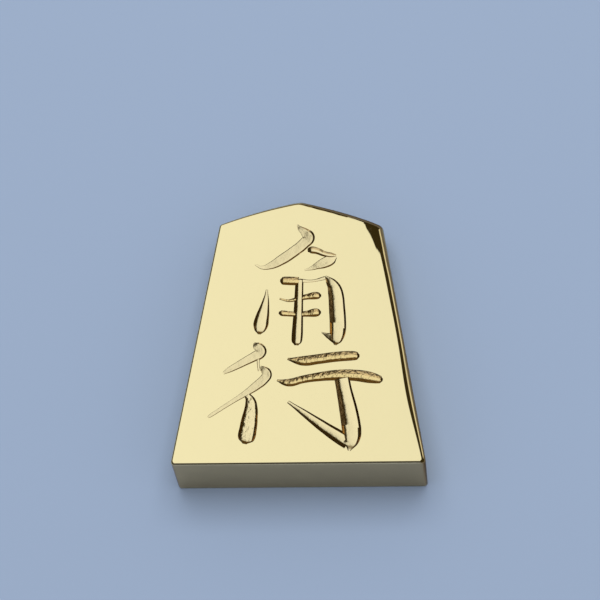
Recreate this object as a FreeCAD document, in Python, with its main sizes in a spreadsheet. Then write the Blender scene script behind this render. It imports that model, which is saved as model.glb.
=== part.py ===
"""A shogi piece, the bishop: a wedge of solid brass with a gold-plated skin. Millimetres.

The piece lies on its back. X is its width, +Y points to its apex and +Z is up. The origin is on the
resting face, at the middle of the piece's own box. The front face slopes down towards the apex,
because the piece is a wedge, thickest at its butt, the flat end that faces its player.
"""

import FreeCAD, Part
import os
import Sketcher
from FreeCAD import Vector

PARTS_FOLDER = "parts"

# Driving dimensions of the finished piece. The angles are the traditional ones of the game's pieces:
# about 80 degrees at the butt's corners and 146 at the apex, which leaves 117 at each shoulder. The two
# roofs, which run from the shoulders up to the apex, bow out a little from straight on roof_radius.
SIZES = {
    "butt_width": 27.7,
    "length": 31.0,
    "base_angle": 80.3,
    "apex_angle": 146.0,
    "roof_radius": 54.0,
    "butt_thickness": 9.3,
    "tip_thickness": 5.6,
    "butt_corner_radius": 0.40,
    "shoulder_radius": 0.55,
    "apex_radius": 0.70,
    "rim_radius": 0.25,
    "plating": 0.03,
}

# Half the angle between the two tapered faces, by which the piece is turned to lie flat on its back.
HALF_TAPER = "atan((sizes.butt_thickness - sizes.tip_thickness) / 2 / sizes.length)"

# How close a face or an edge comes to a plane or a direction before it counts as on it.
NEARLY = 1e-6


def new_sheet(doc):
    """The spreadsheet of driving dimensions: one aliased cell for each, named beside it."""
    sheet = doc.addObject("Spreadsheet::Sheet", "sizes")
    for row, (alias, value) in enumerate(SIZES.items(), start=1):
        sheet.set(f"A{row}", alias)
        sheet.set(f"B{row}", str(value))
        sheet.setAlias(f"B{row}", alias)
    doc.recompute()
    return sheet


def origin_plane(body, role):
    """One of the body's own origin planes, by its role."""
    return next(plane for plane in body.Origin.OriginFeatures if plane.Role == role)


def new_sketch(body, name, role):
    """An empty sketch, flat on one of the body's origin planes."""
    sketch = body.newObject("Sketcher::SketchObject", name)
    sketch.AttachmentSupport = [(origin_plane(body, role), "")]
    sketch.MapMode = "FlatFace"
    return sketch


def closed_loop(sketch, sides):
    """Draws the lines and arcs in order, each end joined to the start of the next."""
    drawn = [sketch.addGeometry(side, False) for side in sides]
    for side, following in zip(drawn, drawn[1:] + drawn[:1]):
        sketch.addConstraint(Sketcher.Constraint("Coincident", side, 2, following, 1))
    return drawn


def drive(sketch, name, expression, *constraint):
    """Adds a named dimension to the sketch and binds it to the sheet."""
    index = sketch.addConstraint(Sketcher.Constraint(*constraint))
    sketch.renameConstraint(index, name)
    sketch.setExpression(f"Constraints.{name}", expression)


def outline_sketch(body):
    """The five-sided outline of a shogi piece, with the butt on the X axis and the apex on +Y.

    The points only place the first drawing: the constraints that follow set its sizes. The roofs'
    chords are construction lines, which hold the traditional angle under the bowed roofs.
    """
    left_end, right_end = Vector(-13.8, 0, 0), Vector(13.8, 0, 0)
    left_shoulder, right_shoulder = Vector(-9.2, 28.1, 0), Vector(9.2, 28.1, 0)
    left_crown, right_crown = Vector(-4.7, 29.7, 0), Vector(4.7, 29.7, 0)
    apex = Vector(0, 30.9, 0)
    sketch = new_sketch(body, "outline", "XY_Plane")
    butt, right_side, right_roof, left_roof, left_side = closed_loop(
        sketch,
        [
            Part.LineSegment(left_end, right_end),
            Part.LineSegment(right_end, right_shoulder),
            Part.Arc(right_shoulder, right_crown, apex),
            Part.Arc(apex, left_crown, left_shoulder),
            Part.LineSegment(left_shoulder, left_end),
        ],
    )
    x_axis, y_axis, start, end = -1, -2, 1, 2
    chords = []
    for roof, foot, top in ((right_roof, right_shoulder, apex), (left_roof, apex, left_shoulder)):
        chord = sketch.addGeometry(Part.LineSegment(foot, top), True)
        for tip in (start, end):
            sketch.addConstraint(Sketcher.Constraint("Coincident", chord, tip, roof, tip))
        chords.append(chord)
    right_chord, left_chord = chords

    sketch.addConstraint(Sketcher.Constraint("PointOnObject", butt, start, x_axis))
    sketch.addConstraint(Sketcher.Constraint("PointOnObject", left_roof, start, y_axis))
    sketch.addConstraint(Sketcher.Constraint("Symmetric", butt, start, butt, end, y_axis))
    sketch.addConstraint(Sketcher.Constraint("Symmetric", right_side, end, left_side, start, y_axis))
    sketch.addConstraint(Sketcher.Constraint("Equal", right_roof, left_roof))
    drive(sketch, "width", "sizes.butt_width - 2 * sizes.plating", "DistanceX", butt, start, butt, end, 27.6)
    drive(sketch, "length", "sizes.length - 2 * sizes.plating", "DistanceY", x_axis, 1, left_roof, start, 30.9)
    drive(sketch, "base", "sizes.base_angle", "Angle", right_side, start, butt, end, 1.401)
    drive(sketch, "apex", "sizes.apex_angle", "Angle", left_chord, start, right_chord, end, 2.548)
    drive(sketch, "roof", "sizes.roof_radius - sizes.plating", "Radius", right_roof, 54.0)
    return sketch


def taper_sketch(body):
    """The sliver that is milled off the front: nothing at the butt, most at the apex."""
    butt_top, tip_top, tip_low = Vector(0, 4.6, 0), Vector(30.9, 4.6, 0), Vector(30.9, 2.8, 0)
    sketch = new_sketch(body, "front_sliver", "YZ_Plane")
    face, tip_end, _ = closed_loop(
        sketch,
        [
            Part.LineSegment(butt_top, tip_top),
            Part.LineSegment(tip_top, tip_low),
            Part.LineSegment(tip_low, butt_top),
        ],
    )
    x_axis, y_axis, start, end = -1, -2, 1, 2
    sketch.addConstraint(Sketcher.Constraint("PointOnObject", face, start, y_axis))
    sketch.addConstraint(Sketcher.Constraint("Horizontal", face))
    sketch.addConstraint(Sketcher.Constraint("Vertical", tip_end))
    drive(sketch, "length", "sizes.length - 2 * sizes.plating", "DistanceX", face, start, face, end, 30.9)
    drive(
        sketch, "half_butt", "sizes.butt_thickness / 2 - sizes.plating",
        "DistanceY", x_axis, 1, face, start, 4.6,
    )
    drive(
        sketch, "half_tip", "sizes.tip_thickness / 2 - sizes.plating",
        "DistanceY", x_axis, 1, tip_end, end, 2.8,
    )
    return sketch


def is_at_butt(point):
    return point.y < NEARLY


def is_at_apex(point):
    return abs(point.x) < NEARLY


def is_at_shoulder(point):
    return point.y > abs(point.x) > NEARLY


def upright_edges(shape, is_there):
    """The short edges through the thickness, from the back face to the front, at one place."""
    names = []
    for number, edge in enumerate(shape.Edges, start=1):
        first, last = edge.Vertexes[0].Point, edge.Vertexes[-1].Point
        run = last - first
        if abs(run.z) > abs(run.x) + abs(run.y) and is_there((first + last) / 2):
            names.append(f"Edge{number}")
    return names


def rim_edges(shape):
    """Every edge round the two big faces, which are the two of the largest area."""
    faces = sorted(shape.Faces, key=lambda face: face.Area)[-2:]
    rims = [edge for face in faces for edge in face.Edges]
    return [
        f"Edge{number}"
        for number, edge in enumerate(shape.Edges, start=1)
        if any(edge.isSame(rim) for rim in rims)
    ]


def round_over(body, name, base, edges, radius):
    """Rounds the named edges of the feature before it."""
    fillet = body.newObject("PartDesign::Fillet", name)
    fillet.Base = (base, edges)
    fillet.setExpression("Radius", radius)
    body.Document.recompute()
    return fillet


def brass_core(doc):
    """The milled brass wedge under the plating, smaller than the finished piece all round by the skin."""
    body = doc.addObject("PartDesign::Body", "brass_core")
    body.Label = "brass_core"

    blank = body.newObject("PartDesign::Pad", "blank")
    blank.Profile = outline_sketch(body)
    blank.Midplane = True
    blank.setExpression("Length", "sizes.butt_thickness - 2 * sizes.plating")
    doc.recompute()
    uncut = blank.Shape.Volume

    front_taper = body.newObject("PartDesign::Pocket", "front_taper")
    front_taper.Profile = taper_sketch(body)
    front_taper.Midplane = True
    front_taper.Type = "ThroughAll"
    doc.recompute()
    half_cut = front_taper.Shape.Volume

    back_taper = body.newObject("PartDesign::Mirrored", "back_taper")
    back_taper.Originals = [front_taper]
    back_taper.MirrorPlane = (origin_plane(body, "XY_Plane"), [""])
    body.Tip = back_taper
    doc.recompute()
    first_sliver, second_sliver = uncut - half_cut, half_cut - back_taper.Shape.Volume
    if first_sliver < NEARLY or abs(first_sliver - second_sliver) > NEARLY * uncut:
        raise SystemExit("the tapers don't cut the same sliver off both faces")

    rounded = back_taper
    for name, is_there, radius in (
        ("butt_corners", is_at_butt, "butt_corner_radius"),
        ("shoulders", is_at_shoulder, "shoulder_radius"),
        ("apex", is_at_apex, "apex_radius"),
    ):
        edges = upright_edges(rounded.Shape, is_there)
        rounded = round_over(body, name, rounded, edges, f"sizes.{radius} - sizes.plating")
    rims = round_over(body, "rims", rounded, rim_edges(rounded.Shape), "sizes.rim_radius - sizes.plating")
    body.Tip = rims

    # Turned so that the back face lies level, raised by the skin under it, and centred on its own box.
    half_butt = "(sizes.butt_thickness / 2 - sizes.plating)"
    half_tip = "(sizes.tip_thickness / 2 - sizes.plating)"
    body.setExpression("Placement.Rotation.Axis.x", "1")
    body.setExpression("Placement.Rotation.Axis.y", "0")
    body.setExpression("Placement.Rotation.Axis.z", "0")
    body.setExpression("Placement.Rotation.Angle", f"-{HALF_TAPER}")
    body.setExpression("Placement.Base.z", f"{half_butt} * cos({HALF_TAPER}) + sizes.plating")
    body.setExpression(
        "Placement.Base.y",
        f"-((sizes.length - 2 * sizes.plating) * cos({HALF_TAPER})"
        f" + ({half_tip} - {half_butt}) * sin({HALF_TAPER})) / 2",
    )
    doc.recompute()
    return body


def gold_plating(doc, core):
    """The plated skin: everything within its thickness of the core's surface, closed all round."""
    finished = doc.addObject("Part::Offset", "finished_surface")
    finished.Source = core
    finished.Mode = "Skin"
    finished.Join = "Arc"
    finished.setExpression("Value", "sizes.plating")
    skin = doc.addObject("Part::Cut", "gold_plating")
    skin.Label = "gold_plating"
    skin.Base = finished
    skin.Tool = core
    doc.recompute()
    return skin


def main():
    doc = FreeCAD.newDocument("shogi_piece")
    new_sheet(doc)
    core = brass_core(doc)
    pieces = [core, gold_plating(doc, core)]

    for item in doc.Objects:
        if {"Invalid", "Error"} & set(item.State):
            raise SystemExit(f"{item.Label} failed: {item.State}")
    os.makedirs(PARTS_FOLDER, exist_ok=True)
    for piece in pieces:
        shape = piece.Shape
        if shape.isNull() or not shape.isValid():
            raise SystemExit(f"{piece.Label} has no valid shape")
        shape.exportStep(os.path.join(PARTS_FOLDER, f"{piece.Label}.step"))
        box = shape.optimalBoundingBox(False, False)
        print(
            piece.Label, "solids", len(shape.Solids), "faces", len(shape.Faces),
            "volume", round(shape.Volume, 2), "mm3, from",
            [round(v, 3) for v in (box.XMin, box.YMin, box.ZMin)],
            "to", [round(v, 3) for v in (box.XMax, box.YMax, box.ZMax)],
        )


main()
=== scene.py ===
import math

import bmesh
import bpy
from mathutils import Matrix, Vector, noise


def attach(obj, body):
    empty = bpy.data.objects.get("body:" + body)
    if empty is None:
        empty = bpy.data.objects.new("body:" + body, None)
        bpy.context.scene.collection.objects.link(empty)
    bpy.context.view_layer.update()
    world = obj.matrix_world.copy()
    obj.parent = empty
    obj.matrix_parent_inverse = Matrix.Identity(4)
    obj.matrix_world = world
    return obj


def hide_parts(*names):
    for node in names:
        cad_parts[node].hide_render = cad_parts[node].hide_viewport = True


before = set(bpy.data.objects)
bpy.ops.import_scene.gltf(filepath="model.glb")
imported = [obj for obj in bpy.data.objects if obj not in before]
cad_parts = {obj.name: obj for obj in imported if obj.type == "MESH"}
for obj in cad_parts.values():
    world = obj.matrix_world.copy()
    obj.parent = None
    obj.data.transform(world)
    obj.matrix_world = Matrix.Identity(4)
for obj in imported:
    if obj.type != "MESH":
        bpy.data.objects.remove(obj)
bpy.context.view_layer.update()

# ---------------------------------------------------------------------------------------------
# The blank: a five-sided wedge of brass, sawn and milled to the outline of a shogi piece, thickest
# at its butt. Its rims are rounded by polishing, which has taken most off the right-hand rim and
# has rolled the front face off at the right shoulder and at the apex.

MM = 0.001
BUTT_WIDTH, LENGTH = 27.7 * MM, 31.0 * MM
BUTT_THICKNESS, TIP_THICKNESS = 9.3 * MM, 5.6 * MM
BASE_ANGLE, APEX_ANGLE = math.radians(80.3), math.radians(146.0)
ROOF_BOW = 0.2 * MM

# Each side of the outline, anticlockwise from the butt: how far in the front rim's rounding reaches
# at the side's first end and at its last.
FRONT_ROUNDING = [
    (0.28 * MM, 0.28 * MM),
    (0.38 * MM, 0.90 * MM),
    (0.90 * MM, 0.50 * MM),
    (0.42 * MM, 0.20 * MM),
    (0.20 * MM, 0.20 * MM),
]
# The right-hand rim is widest a quarter of the way up: how much wider, where and over what length.
SWELL, SWELL_AT, SWELL_REACH = 0.30 * MM, 0.27, 0.18
# A point this close to a side's line counts as on that side.
ON_THE_SIDE = 0.05 * MM
BACK_ROUNDING = [(0.25 * MM, 0.25 * MM)] * 5
# Where the front face is rolled off: the corner, which way the face leans there, how far from the
# corner this starts, how ragged its edge is, and how steep it is at its start and at its end.
ROLL_OFFS = [
    (2, Vector((0.91, 0.42)), 1.85 * MM, 0.18 * MM, math.radians(6.5), math.radians(11)),
    (3, Vector((0.29, 0.957)), 0.50 * MM, 0.05 * MM, math.radians(17), math.radians(24)),
]
RAG_SIZE = 0.80 * MM
# Into how many rings a rolled-off stretch is divided, and how far beyond it the last ring lies.
ROLL_STEPS, FLAT_MARGIN = 10, 0.06 * MM
# Each corner, from the butt's left end: its radius on the sides, and where the flat faces begin.
CORNER_RADII = [0.40 * MM, 0.40 * MM, 0.75 * MM, 0.45 * MM, 0.40 * MM]
FACE_CORNER_RADII = [0.25 * MM, 0.25 * MM, 0.60 * MM, 0.25 * MM, 0.25 * MM]
CORNER_STEPS, SIDE_STEPS, RIM_STEPS = 8, 56, 9

taper_angle = math.atan((BUTT_THICKNESS - TIP_THICKNESS) / 2 / LENGTH)
base_slope, roof_slope = math.tan(BASE_ANGLE), math.tan(math.pi / 2 - APEX_ANGLE / 2)
shoulder_x = (BUTT_WIDTH / 2 * base_slope - LENGTH) / (base_slope - roof_slope)
shoulder_y = (BUTT_WIDTH / 2 - shoulder_x) * base_slope
CORNERS = [
    Vector((-BUTT_WIDTH / 2, 0)),
    Vector((BUTT_WIDTH / 2, 0)),
    Vector((shoulder_x, shoulder_y)),
    Vector((0, LENGTH)),
    Vector((-shoulder_x, shoulder_y)),
]
# The place inside the outline from which the points of a ring are counted round.
MIDDLE = Vector((0, LENGTH * 0.45))


def crossing(first, second):
    """Where two lines meet, each given by two of its points."""
    (a, b), (c, d) = first, second
    along, across = b - a, d - c
    share = (c - a).cross(across) / along.cross(across)
    return a + along * share


def set_in(insets):
    """The five corners of the outline when each side is moved in by its own two distances."""
    lines = []
    for index, (at_first, at_last) in enumerate(insets):
        first, last = CORNERS[index], CORNERS[(index + 1) % 5]
        inward = (last - first).orthogonal().normalized()
        if inward.dot(MIDDLE - first) < 0:
            inward.negate()
        lines.append((first + inward * at_first, last + inward * at_last))
    return [crossing(lines[index - 1], lines[index]) for index in range(5)]


def outline(corners, radii):
    """Points round a five-sided outline: an arc at each corner, and the roofs bowed outwards."""
    arcs = []
    for index, (corner, radius) in enumerate(zip(corners, radii)):
        to_last = (corners[index - 1] - corner).normalized()
        to_next = (corners[(index + 1) % 5] - corner).normalized()
        half = to_last.angle(to_next) / 2
        middle = corner + (to_last + to_next).normalized() * radius / math.sin(half)
        start = corner + to_last * radius / math.tan(half) - middle
        turn = math.pi - 2 * half
        arcs.append([
            middle + Matrix.Rotation(turn * step / CORNER_STEPS, 2) @ start
            for step in range(CORNER_STEPS + 1)
        ])
    points = []
    for arc, following in zip(arcs, arcs[1:] + arcs[:1]):
        points += arc
        points += [
            arc[-1].lerp(following[0], step / SIDE_STEPS) for step in range(1, SIDE_STEPS)
        ]
    for foot, top in ((corners[2], corners[3]), (corners[3], corners[4])):
        chord = top - foot
        outward = Vector((chord.y, -chord.x)).normalized()
        for point in points:
            share = (point - foot).dot(chord) / chord.length_squared
            if 0 < share < 1 and abs((point - foot).dot(outward)) < ROOF_BOW:
                point += outward * 4 * ROOF_BOW * share * (1 - share)
    return points


def face_height(y):
    """How high the front face is above the piece's middle plane, this far from the butt."""
    return (BUTT_THICKNESS - (BUTT_THICKNESS - TIP_THICKNESS) * y / LENGTH) / 2


def swollen(outer, inner):
    """Where the flat face begins on the right-hand rim, which is wider part of the way up."""
    side = CORNERS[2] - CORNERS[1]
    share = (outer - CORNERS[1]).dot(side) / side.length_squared
    off_the_side = abs((outer - CORNERS[1]).cross(side.normalized()))
    if off_the_side > ON_THE_SIDE or not 0 < share < 1:
        return inner
    wider = SWELL * math.exp(-((share - SWELL_AT) / SWELL_REACH) ** 2)
    return inner + (inner - outer).normalized() * wider


def rolled_off(place):
    """How far below the flat face the rolled-off face is here, and where the flat face ends."""
    drop, flat = 0, place.copy()
    rag = noise.noise((place / RAG_SIZE).to_3d())
    for corner, leaning, reach, ragged, first_slope, last_slope in ROLL_OFFS:
        from_corner = (CORNERS[corner] - place).dot(leaning)
        if from_corner < reach + ragged:
            flat -= leaning * (reach + ragged - from_corner)
        beyond = reach + ragged * rag - from_corner
        if beyond > 0:
            steeper = (last_slope - first_slope) * beyond / reach
            drop += beyond * math.tan(first_slope + steeper / 2)
    return drop, flat


def rim_rings(rounding, side):
    """The rings of a rounded rim, from the wall in to the flat face. side is 1 in front, -1 behind."""
    wall = outline(CORNERS, CORNER_RADII)
    face = outline(set_in(rounding), FACE_CORNER_RADII)
    rings = []
    for step in range(RIM_STEPS + 1):
        turn = math.pi / 2 * step / RIM_STEPS
        ring = []
        for outer, inner in zip(wall, face):
            if side == 1:
                inner = swollen(outer, inner)
            place = outer.lerp(inner, 1 - math.cos(turn))
            drop = (outer - inner).length * (1 - math.sin(turn))
            if side == 1:
                drop += rolled_off(place)[0]
            ring.append(Vector((*place, side * (face_height(place.y) - drop))))
        rings.append(ring)
    return rings


def face_rings():
    """The rings between the front rim and the flat face, from the rim inwards."""
    wall = outline(CORNERS, CORNER_RADII)
    face = outline(set_in(FRONT_ROUNDING), FACE_CORNER_RADII)
    rings = []
    for step in range(1, ROLL_STEPS + 1):
        ring = []
        for outer, inner in zip(wall, face):
            inner = swollen(outer, inner)
            flat = rolled_off(inner)[1] + (inner - outer).normalized() * FLAT_MARGIN
            place = inner.lerp(flat, step / ROLL_STEPS)
            ring.append(Vector((*place, face_height(place.y) - rolled_off(place)[0])))
        rings.append(ring)
    return rings


def around(point):
    """The direction of a point of a ring, seen from the middle."""
    return math.atan2(point.y - MIDDLE.y, point.x - MIDDLE.x)


def place_selected(mesh, old, new):
    """Moves the selected ring of vertices from the old points to the new ones."""
    edited = bmesh.from_edit_mesh(mesh)
    ring = sorted((v for v in edited.verts if v.select), key=lambda v: around(v.co))
    order = sorted(range(len(old)), key=lambda index: around(old[index]))
    for vertex, index in zip(ring, order):
        vertex.co = new[index]
    bmesh.update_edit_mesh(mesh)


bpy.ops.object.select_all(action="DESELECT")
rings = face_rings()[::-1] + rim_rings(FRONT_ROUNDING, 1)[::-1] + rim_rings(BACK_ROUNDING, -1)
bpy.ops.mesh.primitive_circle_add(
    vertices=len(rings[0]), radius=BUTT_WIDTH / 4, location=(*MIDDLE, 0)
)
skin = bpy.context.object
skin.name = "engraved_gold_plating"
bpy.ops.object.transform_apply()
bpy.ops.object.mode_set(mode="EDIT")
bpy.ops.mesh.select_all(action="SELECT")
place_selected(skin.data, rings[0], rings[0])
for last_ring, ring in zip(rings, rings[1:]):
    bpy.ops.mesh.extrude_edges_move()
    place_selected(skin.data, last_ring, ring)
bpy.ops.mesh.select_all(action="SELECT")
bpy.ops.mesh.fill_holes(sides=0)
bpy.ops.mesh.select_all(action="SELECT")
bpy.ops.mesh.normals_make_consistent(inside=False)
# The flat of the front is divided across the characters, because one face with every groove as a hole
# in it isn't meshed rightly. The flat is what faces up and is large.
DIVIDED_AT = (23.6 * MM, 19.0 * MM, 12.2 * MM, 7.9 * MM)
FACING_UP, LARGE = 0.9, 10 * MM * MM
edited = bmesh.from_edit_mesh(skin.data)
for y in DIVIDED_AT:
    flat = [f for f in edited.faces if f.normal.z > FACING_UP and f.calc_area() > LARGE]
    edges = {edge for face in flat for edge in face.edges}
    bmesh.ops.bisect_plane(
        edited, geom=[*flat, *edges], plane_co=(0, y, 0), plane_no=(0, 1, 0)
    )
bmesh.update_edit_mesh(skin.data)
bpy.ops.object.mode_set(mode="OBJECT")

# ---------------------------------------------------------------------------------------------
# The engraving: the two characters that mark this rank in every set, cut into the brass of the front
# face before the piece is plated. Each stroke is a list of knots on the front face, in millimetres:
# how far to the right of the middle, how far from the butt, and the stroke's half width there.

STROKES = {
    # The upper character: its cap, its frame and the cross inside.
    "cap_sweep": [
        (-0.40, 28.15, 0.08), (-0.12, 27.75, 0.26), (0.50, 27.20, 0.50), (0.90, 26.62, 0.64),
        (0.40, 25.90, 0.62), (-0.85, 24.82, 0.61), (-2.10, 23.93, 0.58), (-3.30, 23.25, 0.40),
        (-4.25, 23.05, 0.20), (-5.00, 23.40, 0.08),
    ],
    "cap_fold_top": [
        (3.95, 24.40, 0.12), (3.45, 24.42, 0.30), (2.60, 24.62, 0.32), (1.80, 24.98, 0.38),
        (1.15, 25.10, 0.40), (0.78, 25.06, 0.20),
    ],
    "cap_fold_tail": [
        (3.90, 24.28, 0.20), (3.45, 23.92, 0.54), (2.70, 23.54, 0.60), (1.90, 23.20, 0.42),
        (1.20, 22.88, 0.22), (0.45, 22.68, 0.08),
    ],
    "frame_left": [
        (-3.66, 20.40, 0.10), (-3.74, 19.30, 0.31), (-3.94, 18.00, 0.57), (-4.18, 16.80, 0.76),
        (-4.30, 16.05, 0.76), (-4.38, 15.45, 0.50), (-4.42, 15.10, 0.14),
    ],
    "frame_top": [
        (-0.15, 21.37, 0.47), (-0.60, 21.39, 0.49), (-1.40, 21.43, 0.49), (-1.98, 21.45, 0.43),
        (-2.22, 21.47, 0.14),
    ],
    "frame_link": [(2.75, 21.72, 0.21), (1.30, 21.38, 0.14), (-0.10, 21.45, 0.22)],
    "frame_right": [
        (2.80, 21.95, 0.10), (3.20, 21.42, 0.42), (3.66, 20.75, 0.66), (3.90, 20.00, 0.80),
        (4.10, 18.00, 0.86), (4.19, 16.60, 0.87), (4.21, 15.80, 0.87),
    ],
    "frame_foot": [
        (4.19, 16.50, 0.87), (4.20, 15.60, 0.86), (4.12, 14.80, 0.76), (4.00, 14.12, 0.50),
        (3.92, 13.74, 0.12),
    ],
    "frame_hook": [
        (4.06, 14.52, 0.64), (3.50, 14.72, 0.45), (2.98, 14.95, 0.25), (2.42, 15.26, 0.06),
    ],
    "cross_upright": [
        (-0.08, 21.60, 0.43), (-0.12, 20.00, 0.46), (-0.16, 18.00, 0.50), (-0.22, 16.00, 0.57),
        (-0.27, 14.70, 0.59), (-0.31, 14.10, 0.50), (-0.34, 13.76, 0.20),
    ],
    "cross_upper": [
        (2.34, 19.62, 0.12), (2.10, 19.62, 0.36), (1.60, 19.62, 0.43), (0.90, 19.52, 0.34),
        (-0.20, 19.30, 0.26), (-1.20, 19.06, 0.16), (-2.25, 19.30, 0.10),
    ],
    "cross_lower": [
        (2.34, 17.62, 0.12), (2.10, 17.62, 0.39), (1.60, 17.60, 0.48), (0.90, 17.50, 0.36),
        (-0.20, 17.44, 0.29), (-1.40, 17.52, 0.31), (-2.05, 17.60, 0.31), (-2.32, 17.64, 0.12),
    ],
    # The lower character: its three left strokes, its two bars and its hooked upright.
    "left_upper": [
        (-4.98, 14.08, 0.13), (-4.76, 13.84, 0.40), (-4.24, 13.34, 0.56), (-4.27, 12.92, 0.61),
        (-4.95, 12.47, 0.53), (-5.80, 12.00, 0.47), (-6.80, 11.43, 0.39), (-7.70, 10.93, 0.30),
        (-8.27, 10.58, 0.15),
    ],
    "left_link": [(-4.48, 12.30, 0.16), (-4.46, 11.50, 0.13), (-4.34, 10.80, 0.15)],
    "left_middle": [
        (-4.22, 11.34, 0.10), (-3.84, 10.98, 0.38), (-3.50, 10.44, 0.52), (-3.80, 9.82, 0.52),
        (-4.45, 9.22, 0.50), (-5.40, 8.48, 0.39), (-6.60, 7.67, 0.26), (-8.20, 6.60, 0.21),
        (-9.60, 5.64, 0.18), (-9.88, 5.46, 0.10),
    ],
    "left_upright": [
        (-5.64, 8.05, 0.32), (-5.26, 7.35, 0.54), (-5.17, 6.50, 0.69), (-5.31, 5.20, 0.85),
        (-5.47, 4.00, 0.92), (-5.62, 3.15, 0.92), (-5.73, 2.72, 0.72), (-5.82, 2.34, 0.20),
    ],
    "bar_upper": [
        (6.60, 12.46, 0.14), (6.34, 12.46, 0.44), (5.70, 12.47, 0.55), (4.00, 12.37, 0.57),
        (2.00, 12.11, 0.57), (0.60, 11.94, 0.57), (-0.30, 12.00, 0.40), (-1.28, 12.18, 0.12),
    ],
    "bar_lower": [
        (9.14, 9.60, 0.14), (8.90, 9.64, 0.42), (7.80, 9.90, 0.64), (6.00, 10.19, 0.64),
        (4.00, 10.22, 0.60), (2.00, 10.03, 0.50), (0.30, 9.74, 0.44), (-0.90, 9.42, 0.45),
        (-1.62, 9.46, 0.34), (-2.40, 9.70, 0.10),
    ],
    "hook_upright": [
        (4.68, 9.95, 0.80), (4.94, 8.50, 0.82), (5.30, 6.80, 0.92), (5.60, 5.20, 0.99),
        (5.76, 4.10, 1.01),
    ],
    "hook_foot": [
        (5.69, 4.60, 1.00), (5.79, 3.80, 1.01), (5.78, 2.90, 0.92), (5.66, 2.10, 0.60),
        (5.52, 1.44, 0.14),
    ],
    "hook_tail": [
        (-1.16, 7.18, 0.16), (0.32, 6.07, 0.34), (1.92, 4.85, 0.53), (3.32, 3.82, 0.66),
        (4.54, 2.98, 0.75), (5.44, 2.36, 0.74),
    ],
}
# The cutter's sections for a stroke of half width 1, from its left to its right as the cutter goes.
# Each has a floor, and a lip where its walls meet the face. The plain cut has two steep walls. The
# sweeping cut is shallow, and deepest along its left wall. The leaning and the upright cut have a
# gentler wall on their right, the bar's is a trough, and the tail's right wall takes much of its
# width.
PLAIN_CUT = [
    (-1.40, 0.70), (-1.40, 0.36), (-1.04, 0.00), (-0.80, -0.22), (-0.72, -0.262),
    (-0.62, -0.283), (-0.50, -0.288), (0.00, -0.290), (0.50, -0.288), (0.66, -0.280),
    (0.78, -0.255), (0.85, -0.20), (0.95, -0.07), (1.00, -0.02), (1.40, 0.19), (1.40, 0.70),
]
SWEEPING_CUT = [
    (-1.40, 0.70), (-1.40, 0.14), (-1.04, 0.00), (-0.68, -0.140), (-0.55, -0.140), (-0.36, -0.130),
    (0.20, -0.100), (0.95, -0.060), (1.04, 0.000), (1.40, 0.23), (1.40, 0.70),
]
LEANING_CUT = [
    (-1.40, 0.70), (-1.40, 0.35), (-1.04, 0.00), (-0.90, -0.16), (-0.85, -0.235), (-0.78, -0.272),
    (-0.68, -0.286), (0.10, -0.290), (0.42, -0.286), (0.52, -0.268), (0.59, -0.232),
    (0.98, -0.033), (1.40, 0.18), (1.40, 0.70),
]
UPRIGHT_CUT = [
    (-1.40, 0.70), (-1.40, 0.28), (-1.04, 0.00), (-0.72, -0.22), (-0.65, -0.270), (-0.55, -0.287),
    (-0.45, -0.290), (0.10, -0.290), (0.30, -0.282), (0.42, -0.262), (0.66, -0.16), (0.98, -0.02),
    (1.40, 0.17), (1.40, 0.70),
]
BAR_CUT = [
    (-1.40, 0.70), (-1.40, 0.17), (-1.04, 0.00), (-0.36, -0.27), (-0.22, -0.30), (0.05, -0.305),
    (0.22, -0.29), (0.34, -0.26), (0.98, -0.02), (1.40, 0.16), (1.40, 0.70),
]
TAIL_CUT = [
    (-1.40, 0.70), (-1.40, 0.28), (-1.04, 0.00), (-0.82, -0.15), (-0.72, -0.27), (-0.60, -0.290),
    (0.30, -0.290), (0.44, -0.264), (1.04, 0.00), (1.40, 0.15), (1.40, 0.70),
]
SECTIONS = {
    "cap_sweep": SWEEPING_CUT, "cap_fold_tail": SWEEPING_CUT, "left_upper": SWEEPING_CUT,
    "left_middle": SWEEPING_CUT, "frame_right": LEANING_CUT, "hook_upright": LEANING_CUT,
    "cross_upright": UPRIGHT_CUT, "hook_tail": TAIL_CUT, "cap_fold_top": BAR_CUT,
    "frame_top": BAR_CUT, "cross_upper": BAR_CUT, "cross_lower": BAR_CUT, "bar_upper": BAR_CUT,
    "bar_lower": BAR_CUT,
}
SCALLOPED = ("frame_top", "cross_upper", "cross_lower", "bar_upper", "bar_lower")
# How many points a stroke has from one knot to the next, and how close points are merged, in metres.
KNOT_STEPS, MERGE_WITHIN = 7, 1e-7


def new_section(points):
    """The closed curve of a cutter's section, for a stroke one millimetre in half width."""
    bpy.ops.curve.primitive_bezier_curve_add()
    section = bpy.context.object
    section.data.splines.clear()
    spline = section.data.splines.new("POLY")
    spline.points.add(len(points) - 1)
    for point, (x, z) in zip(spline.points, points):
        point.co = (x * MM, z * MM, 0, 1)
    spline.use_cyclic_u = True
    return section


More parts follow.
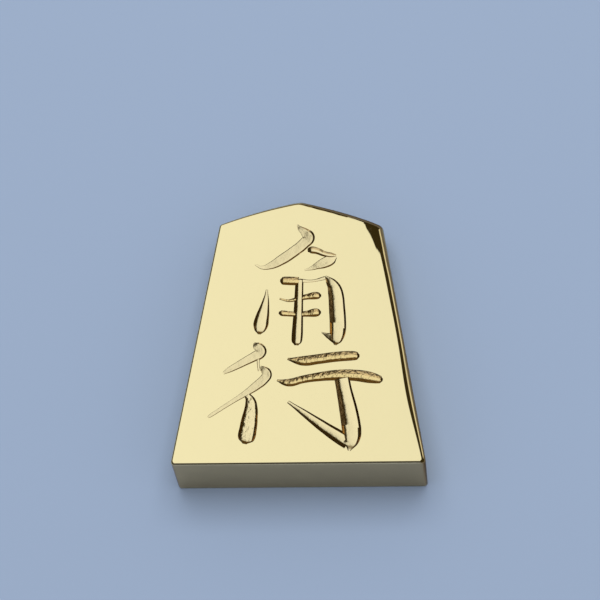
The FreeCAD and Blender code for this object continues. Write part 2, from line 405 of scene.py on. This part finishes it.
def cut_stroke(name, knots, section):
    """A cutter for one stroke: the section swept through the knots, as wide at each as it says."""
    bpy.ops.curve.primitive_bezier_curve_add()
    path = bpy.context.object
    path.name = name
    path.data.twist_mode = "Z_UP"
    spline = path.data.splines[0]
    spline.resolution_u = KNOT_STEPS
    spline.radius_interpolation = "CARDINAL"
    spline.bezier_points.add(len(knots) - 2)
    for point, (x, y, half_width) in zip(spline.bezier_points, knots):
        point.co = (x * MM, y * MM, 0)
        point.radius = half_width
        point.handle_left_type = point.handle_right_type = "AUTO"
    path.data.bevel_mode = "OBJECT"
    path.data.bevel_object = section
    path.data.use_fill_caps = True
    bpy.ops.object.convert(target="MESH")
    cutter = bpy.context.object
    bpy.ops.object.mode_set(mode="EDIT")
    bpy.ops.mesh.select_all(action="SELECT")
    bpy.ops.mesh.remove_doubles(threshold=MERGE_WITHIN)
    bpy.ops.mesh.normals_make_consistent(inside=False)
    bpy.ops.object.mode_set(mode="OBJECT")
    finish = scalloped if name in SCALLOPED else tooled
    cutter.data.materials.append(ribbed if name == "left_upright" else finish)
    return cutter


# Plated gold over the milled brass: a mirror on the faces, with the faint waves and haze that hand
# polishing leaves, a satin finish on the butt, and fine tool marks in the grooves, whose walls carry
# a painted shade that makes them browner than their floors.
GOLD, SATIN_GOLD = (0.950, 0.780, 0.400), (0.890, 0.720, 0.410)
GROOVE_GOLD, BAR_GOLD = (0.920, 0.740, 0.385), (0.880, 0.650, 0.270)
# The colour of the steep groove walls is a painted shade, browner than the floors.
WALL_SHADE_GOLD = (0.780, 0.500, 0.190)
# The edge tint is a painted shade: it darkens the metals' reflection at grazing angles, on the butt
# and the rims, standing in for the shaded table they mirror.
GRAZING_SHADE_TINT = (0.40, 0.36, 0.40, 1)
HAZE_SIZE, HAZE_DETAIL, WAVE_DETAIL = 2.5 * MM, 4, 2
# How level a groove's surface is where its painted wall shade is full, and where it is as light as
# a floor.
STEEP, LEVEL = 0.92, 0.985


def metal(name, colour, roughness, spread, wave, wave_size, grain, grain_size, painted_wall_shade=None):
    """A metal whose roughness and surface vary over sizes in metres. A painted wall shade, if given,
    darkens it where it is steep."""
    made = bpy.data.materials.new(name)
    made.use_nodes = True
    nodes, links = made.node_tree.nodes, made.node_tree.links
    shader = nodes["Principled BSDF"]
    shader.inputs["Base Color"].default_value = (*colour, 1)
    shader.inputs["Metallic"].default_value = 1.0
    # Painted shade at grazing angles.
    shader.inputs["Specular Tint"].default_value = GRAZING_SHADE_TINT
    place = nodes.new("ShaderNodeTexCoord")

    haze = nodes.new("ShaderNodeTexNoise")
    haze.inputs["Scale"].default_value = 1 / HAZE_SIZE
    haze.inputs["Detail"].default_value = HAZE_DETAIL
    links.new(place.outputs["Object"], haze.inputs["Vector"])
    to_roughness = nodes.new("ShaderNodeMapRange")
    to_roughness.inputs["To Min"].default_value = roughness - spread
    to_roughness.inputs["To Max"].default_value = roughness + spread
    links.new(haze.outputs["Fac"], to_roughness.inputs["Value"])
    links.new(to_roughness.outputs["Result"], shader.inputs["Roughness"])

    normal = None
    for height, size in ((wave, wave_size), (grain, grain_size)):
        pattern = nodes.new("ShaderNodeTexNoise")
        pattern.inputs["Scale"].default_value = 1 / size
        pattern.inputs["Detail"].default_value = WAVE_DETAIL
        links.new(place.outputs["Object"], pattern.inputs["Vector"])
        bump = nodes.new("ShaderNodeBump")
        bump.inputs["Strength"].default_value = 1.0
        bump.inputs["Distance"].default_value = height
        links.new(pattern.outputs["Fac"], bump.inputs["Height"])
        if normal:
            links.new(normal, bump.inputs["Normal"])
        normal = bump.outputs["Normal"]
    links.new(normal, shader.inputs["Normal"])

    # Painted shade: steep surfaces, the groove walls, are tinted towards the wall colour.
    if painted_wall_shade:
        surface = nodes.new("ShaderNodeNewGeometry")
        levelness = nodes.new("ShaderNodeVectorMath")
        levelness.operation = "DOT_PRODUCT"
        levelness.inputs[1].default_value = (0, math.sin(2 * taper_angle), math.cos(2 * taper_angle))
        links.new(surface.outputs["True Normal"], levelness.inputs[0])
        tint = nodes.new("ShaderNodeValToRGB")
        steep, level = tint.color_ramp.elements
        steep.position, steep.color = STEEP, (*painted_wall_shade, 1)
        level.position, level.color = LEVEL, (*colour, 1)
        links.new(levelness.outputs["Value"], tint.inputs["Fac"])
        links.new(tint.outputs["Color"], shader.inputs["Base Color"])
    return made


def groove_metal(name, colour, wave, wave_size):
    """Gold in a groove: fine marks left by the cutter, over waves of the given height and size, with a
    painted shade on its steep walls.
    """
    return metal(
        name, colour, roughness=0.13, spread=0.05, wave=wave, wave_size=wave_size,
        grain=0.003 * MM, grain_size=0.12 * MM, painted_wall_shade=WALL_SHADE_GOLD,
    )


polished = metal(
    "polished_gold", GOLD, roughness=0.05, spread=0.02, wave=0.008 * MM, wave_size=3.0 * MM,
    grain=0.0012 * MM, grain_size=0.45 * MM,
)
satin = metal(
    "satin_gold", SATIN_GOLD, roughness=0.30, spread=0.05, wave=0.008 * MM, wave_size=2.0 * MM,
    grain=0.002 * MM, grain_size=0.20 * MM,
)
tooled = groove_metal("tooled_gold", GROOVE_GOLD, 0.020 * MM, 0.9 * MM)
ribbed = groove_metal("ribbed_gold", GROOVE_GOLD, 0.045 * MM, 0.40 * MM)
scalloped = groove_metal("scalloped_gold", BAR_GOLD, 0.045 * MM, 0.40 * MM)
skin.data.materials.append(polished)
skin.data.materials.append(satin)
# The butt's faces are the ones whose normals point this far away from the apex.
AWAY_FROM_APEX = -0.75
for face in skin.data.polygons:
    if face.normal.y < AWAY_FROM_APEX:
        face.material_index = 1

bpy.ops.object.select_all(action="DESELECT")
cutters = []
for name, knots in STROKES.items():
    section = new_section(SECTIONS.get(name, PLAIN_CUT))
    cutters.append(cut_stroke(name, knots, section))
    bpy.data.objects.remove(section)
bpy.ops.object.select_all(action="DESELECT")
for cutter in cutters:
    cutter.select_set(True)
bpy.context.view_layer.objects.active = cutters[0]
bpy.ops.object.join()
engraving = bpy.context.object
engraving.location = (0, 0, face_height(0))
engraving.rotation_euler = (-taper_angle, 0, 0)
bpy.ops.object.transform_apply()

bpy.ops.object.select_all(action="DESELECT")
skin.select_set(True)
bpy.context.view_layer.objects.active = skin
cut = skin.modifiers.new("engrave", "BOOLEAN")
cut.operation = "DIFFERENCE"
cut.solver = "EXACT"
cut.use_self = True
cut.material_mode = "TRANSFER"
cut.object = engraving
bpy.ops.object.modifier_apply(modifier="engrave")
bpy.data.objects.remove(engraving)
bpy.ops.object.mode_set(mode="EDIT")
bpy.ops.mesh.select_all(action="DESELECT")
for index, material_slot in enumerate(skin.material_slots):
    if material_slot.material in (tooled, ribbed, scalloped):
        skin.active_material_index = index
        bpy.ops.object.material_slot_select()
bpy.ops.mesh.region_to_loop()
bpy.ops.mesh.mark_sharp()
bpy.ops.object.mode_set(mode="OBJECT")

# Laid on its back: turned by half the taper, raised until the back face is level with the floor.
skin.rotation_euler = (-taper_angle, 0, 0)
half_thickness = BUTT_THICKNESS / 2
butt_end = -half_thickness * math.sin(taper_angle)
tip_end = LENGTH * math.cos(taper_angle) + TIP_THICKNESS / 2 * math.sin(taper_angle)
skin.location = (0, -(butt_end + tip_end) / 2, half_thickness * math.cos(taper_angle))
bpy.ops.object.transform_apply()

# ---------------------------------------------------------------------------------------------
# The core under the plating: the engraved brass wedge itself, a skin's thickness smaller all round.

PLATING = 0.03 * MM
MILLED_BRASS = (0.72, 0.50, 0.22)
# Faces that meet at a smaller angle than this are shaded as one.
SMOOTH_WITHIN = math.radians(18)
bpy.ops.object.duplicate()
core = bpy.context.object
core.name = "engraved_brass_core"
bpy.ops.object.mode_set(mode="EDIT")
bpy.ops.mesh.select_all(action="SELECT")
bpy.ops.mesh.quads_convert_to_tris(quad_method="BEAUTY", ngon_method="BEAUTY")
bpy.ops.transform.shrink_fatten(value=-PLATING)
bpy.ops.object.mode_set(mode="OBJECT")
brass = metal(
    "milled_brass", MILLED_BRASS, roughness=0.32, spread=0.06, wave=0.004 * MM,
    wave_size=1.5 * MM, grain=0.004 * MM, grain_size=0.2 * MM,
)
core.data.materials.clear()
core.data.materials.append(brass)

for piece, material_slot, node in (
    (skin, "polished_gold", "gold_plating"), (core, "milled_brass", "brass_core")
):
    bpy.ops.object.select_all(action="DESELECT")
    piece.select_set(True)
    bpy.context.view_layer.objects.active = piece
    bpy.ops.object.shade_smooth_by_angle(angle=SMOOTH_WITHIN)
    flatten = piece.modifiers.new("flat_faces", "WEIGHTED_NORMAL")
    flatten.weight = 100
    flatten.keep_sharp = True
    bpy.ops.object.modifier_apply(modifier="flat_faces")
    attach(piece, "root")
    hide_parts(node)

# ---------------------------------------------------------------------------------------------
# The studio: a pale blue-grey table, soft light from overhead, and the camera high above the butt.
# North is the way from the butt to the apex, and east is to the right of it.

TABLE_SIZE, TABLE_COLOUR = 1.2, (0.330, 0.420, 0.580)
TABLE_ROUGHNESS, TABLE_SHEEN = 0.6, 0.2
bpy.ops.object.select_all(action="DESELECT")
bpy.ops.mesh.primitive_plane_add(size=TABLE_SIZE, location=(0, 0, 0))
table = bpy.context.object
table.name = "table"
table_paint = bpy.data.materials.new("table_paint")
table_paint.use_nodes = True
table_shader = table_paint.node_tree.nodes["Principled BSDF"]
table_shader.inputs["Base Color"].default_value = (*TABLE_COLOUR, 1)
table_shader.inputs["Roughness"].default_value = TABLE_ROUGHNESS
table_shader.inputs["Specular IOR Level"].default_value = TABLE_SHEEN
# Painted shade: seen in the gold, the table to the east and the north-east is painted grey and dim,
# as if something stood over it. Each pair is where the painted shade begins and where it is full.
PAINTED_TABLE_SHADE = (0.15, 0.14, 0.15)
EAST_SHADE = (13.0 * MM, 16.0 * MM)
NORTH_EAST_SHADE_X, NORTH_EAST_SHADE_Y = (-1.0 * MM, 3.0 * MM), (15.5 * MM, 17.0 * MM)
paint, paint_links = table_paint.node_tree.nodes, table_paint.node_tree.links
table_place = paint.new("ShaderNodeTexCoord")
table_parts = paint.new("ShaderNodeSeparateXYZ")
paint_links.new(table_place.outputs["Object"], table_parts.inputs["Vector"])


def further(part, first, last):
    """How far a place on the table is from the first to the last coordinate, from 0 to 1."""
    made = paint.new("ShaderNodeMapRange")
    made.inputs["From Min"].default_value = first
    made.inputs["From Max"].default_value = last
    paint_links.new(table_parts.outputs[part], made.inputs["Value"])
    return made.outputs["Result"]


north_east = paint.new("ShaderNodeMath")
north_east.operation = "MULTIPLY"
paint_links.new(further("X", *NORTH_EAST_SHADE_X), north_east.inputs[0])
paint_links.new(further("Y", *NORTH_EAST_SHADE_Y), north_east.inputs[1])
painted_shade = paint.new("ShaderNodeMath")
painted_shade.operation = "MAXIMUM"
paint_links.new(further("X", *EAST_SHADE), painted_shade.inputs[0])
paint_links.new(north_east.outputs["Value"], painted_shade.inputs[1])
table_ray = paint.new("ShaderNodeLightPath")
in_gold = paint.new("ShaderNodeMath")
in_gold.operation = "MULTIPLY"
paint_links.new(painted_shade.outputs["Value"], in_gold.inputs[0])
paint_links.new(table_ray.outputs["Is Glossy Ray"], in_gold.inputs[1])
# Painted shade: for glossy rays the table's colour is mixed towards the dim grey.
dimmed = paint.new("ShaderNodeVectorMath")
dimmed.operation = "MULTIPLY_ADD"
dimmed.inputs[1].default_value = Vector(PAINTED_TABLE_SHADE) - Vector(TABLE_COLOUR)
dimmed.inputs[2].default_value = TABLE_COLOUR
paint_links.new(in_gold.outputs["Value"], dimmed.inputs[0])
paint_links.new(dimmed.outputs["Vector"], table_shader.inputs["Base Color"])
table.data.materials.append(table_paint)

# The light: an even dome, a large lamp overhead, and what the metal mirrors. That is a white panel
# overhead, brown dark to the west, east and north of it, grey dark to the south, and a pale strip low
# in the east.
world = bpy.data.worlds.new("studio")
bpy.context.scene.world = world
world.use_nodes = True
room, room_links = world.node_tree.nodes, world.node_tree.links
direction = room.new("ShaderNodeTexCoord")
parts = room.new("ShaderNodeSeparateXYZ")
room_links.new(direction.outputs["Generated"], parts.inputs["Vector"])


def ramp(source, stops):
    """A colour ramp over a direction's part from -1 to 1, with its stops as (part, colour)."""
    to_unit = room.new("ShaderNodeMapRange")
    to_unit.inputs["From Min"].default_value = -1
    room_links.new(source, to_unit.inputs["Value"])
    made = room.new("ShaderNodeValToRGB")
    elements = made.color_ramp.elements
    while len(elements) < len(stops):
        elements.new(0.5)
    for element, (part, colour) in zip(elements, stops):
        element.position = (part + 1) / 2
        element.color = (*colour, 1)
    room_links.new(to_unit.outputs["Result"], made.inputs["Fac"])
    return made.outputs["Color"]


PANEL, PANEL_EAST, PANEL_SOUTH = (0.95, 1.03, 1.15), (0.84, 0.91, 1.02), (0.97, 1.08, 1.34)
BROWN_DARK, SOUTH_DARK, STRIP = (0.034, 0.026, 0.010), (0.055, 0.055, 0.065), (0.75, 0.74, 0.70)
NORTH_BROWN = (0.130, 0.095, 0.040)
BLACK = (0, 0, 0)
WEST_TO_EAST = [
    (-1.0, BROWN_DARK), (-0.44, BROWN_DARK), (-0.32, PANEL), (-0.12, PANEL), (0.04, PANEL_EAST),
    (0.10, BROWN_DARK),
]
SOUTH_TO_NORTH = [
    (-1.0, SOUTH_DARK), (-0.25, SOUTH_DARK), (-0.05, PANEL_SOUTH), (0.20, PANEL_SOUTH),
    (0.42, PANEL), (0.70, PANEL), (0.82, NORTH_BROWN),
]
STRIP_WEST_TO_EAST = [(0.70, BLACK), (0.76, STRIP), (0.90, STRIP), (0.94, BLACK)]
STRIP_SOUTH_TO_NORTH = [(0.46, BLACK), (0.53, STRIP)]


def seen_in_both(first, last):
    """The darker of two ramps, the first over the part to the east, the last to the north."""
    darker = room.new("ShaderNodeVectorMath")
    darker.operation = "MINIMUM"
    room_links.new(ramp(parts.outputs["X"], first), darker.inputs[0])
    room_links.new(ramp(parts.outputs["Y"], last), darker.inputs[1])
    return darker.outputs["Vector"]


mirrored_room = room.new("ShaderNodeVectorMath")
mirrored_room.operation = "MAXIMUM"
room_links.new(seen_in_both(WEST_TO_EAST, SOUTH_TO_NORTH), mirrored_room.inputs[0])
room_links.new(seen_in_both(STRIP_WEST_TO_EAST, STRIP_SOUTH_TO_NORTH), mirrored_room.inputs[1])
DOME_STRENGTH = 0.46
dome = room["Background"]
dome.inputs["Color"].default_value = (1, 1, 1, 1)
dome.inputs["Strength"].default_value = DOME_STRENGTH
mirrored = room.new("ShaderNodeBackground")
room_links.new(mirrored_room.outputs["Vector"], mirrored.inputs["Color"])
# What the gold throws back on to the table, which is more on its east and north than elsewhere.
DIM, BRIGHT = (0.07, 0.07, 0.07), (0.50, 0.48, 0.44)
THROWN_WEST_TO_EAST = [(-0.10, DIM), (0.10, BRIGHT)]
THROWN_SOUTH_TO_NORTH = [(-0.30, DIM), (-0.10, BRIGHT)]
thrown_back = room.new("ShaderNodeBackground")
room_links.new(
    seen_in_both(THROWN_WEST_TO_EAST, THROWN_SOUTH_TO_NORTH), thrown_back.inputs["Color"]
)
ray = room.new("ShaderNodeLightPath")
in_the_gold = room.new("ShaderNodeMixShader")
room_links.new(ray.outputs["Diffuse Depth"], in_the_gold.inputs[0])
room_links.new(mirrored.outputs["Background"], in_the_gold.inputs[1])
room_links.new(thrown_back.outputs["Background"], in_the_gold.inputs[2])
either = room.new("ShaderNodeMixShader")
room_links.new(ray.outputs["Is Glossy Ray"], either.inputs[0])
room_links.new(dome.outputs["Background"], either.inputs[1])
room_links.new(in_the_gold.outputs["Shader"], either.inputs[2])
room_links.new(either.outputs["Shader"], room["World Output"].inputs["Surface"])

KEY_POWER, KEY_SIZE, KEY_DISTANCE = 2.27, 0.39, 0.6
key_from = Vector((0.01, 0.22, 0.975)).normalized()
bpy.ops.object.light_add(type="AREA", location=key_from * KEY_DISTANCE)
key = bpy.context.object
key.name = "key_light"
key.data.energy = KEY_POWER
key.data.size = KEY_SIZE
key.visible_glossy = False
key.rotation_euler = key_from.to_track_quat("Z", "Y").to_euler()

CAMERA_AZIMUTH, CAMERA_ELEVATION, CAMERA_ROLL = map(math.radians, (12.52, 74.00, -12.72))
CAMERA_DISTANCE, CAMERA_LENS, SENSOR_WIDTH = 402.9 * MM, 216.0, 36
NEAREST_SEEN, FURTHEST_SEEN = 0.01, 10
looked_at = Vector((-0.43 * MM, 5.81 * MM, 0))
back = Vector((
    math.sin(CAMERA_AZIMUTH) * math.cos(CAMERA_ELEVATION),
    -math.cos(CAMERA_AZIMUTH) * math.cos(CAMERA_ELEVATION),
    math.sin(CAMERA_ELEVATION),
))
right = Vector((math.cos(CAMERA_AZIMUTH), math.sin(CAMERA_AZIMUTH), 0))
right = Matrix.Rotation(-CAMERA_ROLL, 3, -back) @ right
up = back.cross(right)
bpy.ops.object.camera_add()
camera = bpy.context.object
camera.matrix_world = Matrix.Translation(looked_at + back * CAMERA_DISTANCE) @ Matrix(
    (right, up, back)
).transposed().to_4x4()
camera.data.sensor_width = SENSOR_WIDTH
camera.data.lens = CAMERA_LENS
camera.data.clip_start, camera.data.clip_end = NEAREST_SEEN, FURTHEST_SEEN
bpy.context.scene.camera = camera

bpy.context.scene.view_settings.view_transform = "Standard"
